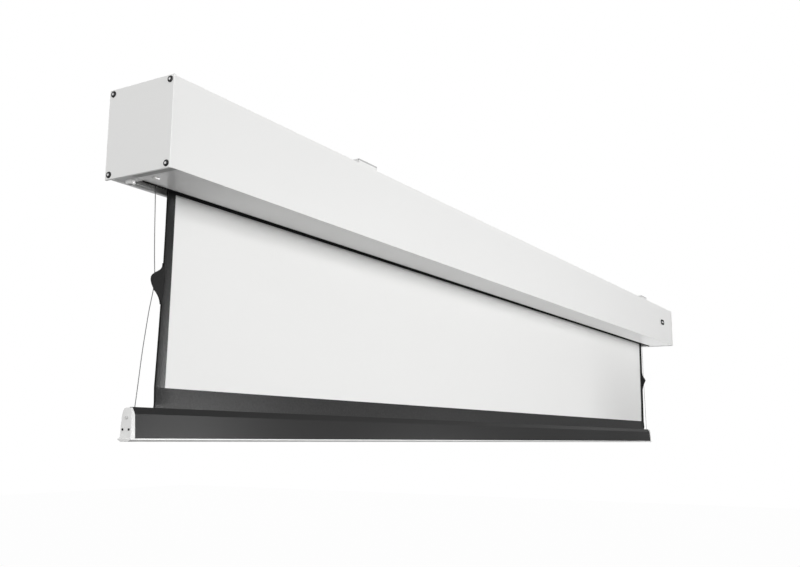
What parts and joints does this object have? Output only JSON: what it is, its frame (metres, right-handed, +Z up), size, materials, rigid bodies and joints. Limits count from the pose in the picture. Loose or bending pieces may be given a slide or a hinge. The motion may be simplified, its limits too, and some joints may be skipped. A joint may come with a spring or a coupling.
{
  "type": "motorized projector screen",
  "caption": "Long square-section case with a motor-driven roller lowering a side-tensioned projection sheet on a weight bar, hung by sliding clamp brackets.",
  "frame": {"origin": "midway along the case and across its depth, on the plane of the two clamp brackets' tops, where a ceiling or hanger plate meets them", "axes": "+X along the case to the right as a viewer in front sees it, +Y to the rear, +Z up; the picture faces -Y"},
  "size_m": [2.9048, 0.1388, 0.5543],
  "materials": {
    "case_paint": "white powder-coated aluminium extrusion",
    "dark_screw": "black oxide steel",
    "black_rubber": "black brush strip",
    "grey_plastic": "moulded grey plastic",
    "white_plastic": "moulded white plastic",
    "infrared_lens": "glossy dark window",
    "lead_sheath": "black sheath",
    "zinc_plate": "pale plated sheet steel",
    "steel": "bright drawn steel",
    "aluminium": "plain extruded aluminium",
    "bar_paint": "dark grey powder-coated aluminium extrusion",
    "white_rail": "white powder-coated aluminium extrusion",
    "black_fabric": "matt black woven border",
    "white_fabric": "matt white projection coating",
    "cord": "grey braided tension cord"
  },
  "bodies": {
    "case": {"rear_housing": "case_paint", "front_cover": "case_paint", "left_end_plate": "case_paint", "right_end_plate": "case_paint", "left_plate_screw_front_bottom": "dark_screw", "left_plate_screw_front_top": "dark_screw", "left_plate_screw_rear_bottom": "dark_screw", "left_plate_screw_rear_top": "dark_screw", "right_plate_screw_front_bottom": "dark_screw", "right_plate_screw_front_top": "dark_screw", "right_plate_screw_rear_bottom": "dark_screw", "right_plate_screw_rear_top": "dark_screw", "slot_wiper": "black_rubber", "left_slot_filler": "grey_plastic", "right_slot_filler": "grey_plastic", "cable_gland": "white_plastic", "underside_plug": "white_plastic", "infrared_window": "infrared_lens", "receiver_module": "grey_plastic", "receiver_lead": "lead_sheath", "motor_bracket": "zinc_plate", "motor_head": "grey_plastic", "tubular_motor": "steel", "idler_bracket": "zinc_plate", "idler_bearing": "steel"},
    "roller": {"roller_tube": "aluminium", "crown_ring": "grey_plastic", "drive_wheel": "grey_plastic", "motor_output_shaft": "steel", "idler_plug": "grey_plastic", "idler_pin": "steel", "wound_fabric": "black_fabric", "left_cord_winding": "cord", "right_cord_winding": "cord"},
    "weight_bar": {"bar_shell": "bar_paint", "bar_base_rail": "white_rail", "ballast_rod": "steel", "hem_rod": "steel", "left_bar_cap": "white_plastic", "right_bar_cap": "white_plastic", "left_cap_screw_front": "dark_screw", "left_cap_screw_rear": "dark_screw", "right_cap_screw_front": "dark_screw", "right_cap_screw_rear": "dark_screw", "left_cord_tensioner": "white_plastic", "right_cord_tensioner": "white_plastic", "projection_fabric": "white_fabric", "lower_band": "black_fabric", "upper_band": "black_fabric", "left_tab_strip": "black_fabric", "right_tab_strip": "black_fabric", "left_tension_cord": "cord", "right_tension_cord": "cord"},
    "left_clamp": {"left_clamp_bracket": "zinc_plate", "left_clamp_jaw": "zinc_plate", "left_clamp_screw": "zinc_plate"},
    "right_clamp": {"right_clamp_bracket": "zinc_plate", "right_clamp_jaw": "zinc_plate", "right_clamp_screw": "zinc_plate"}
  },
  "joints": [
    {"name": "screen_drop", "type": "slide", "parent": "case", "child": "weight_bar", "axis": [0, 0, -1], "range_m": [-0.394, 1.43], "deforming": ["projection_fabric", "lower_band", "upper_band", "left_tab_strip", "right_tab_strip", "left_tension_cord", "right_tension_cord"]},
    {"name": "roller_spin", "type": "hinge", "parent": "case", "child": "roller", "pos_m": [0, -0.002, -0.079], "axis": [-1, 0, 0], "range_deg": [-560, 2020]},
    {"name": "left_clamp_slide", "type": "slide", "parent": "case", "child": "left_clamp", "axis": [1, 0, 0], "range_m": [-0.1, 0.1]},
    {"name": "right_clamp_slide", "type": "slide", "parent": "case", "child": "right_clamp", "axis": [1, 0, 0], "range_m": [-0.1, 0.1]}
  ],
  "couplings": [
    {"joint": "roller_spin", "follows": "screen_drop", "rad_per_m": 24.01}
  ]
}
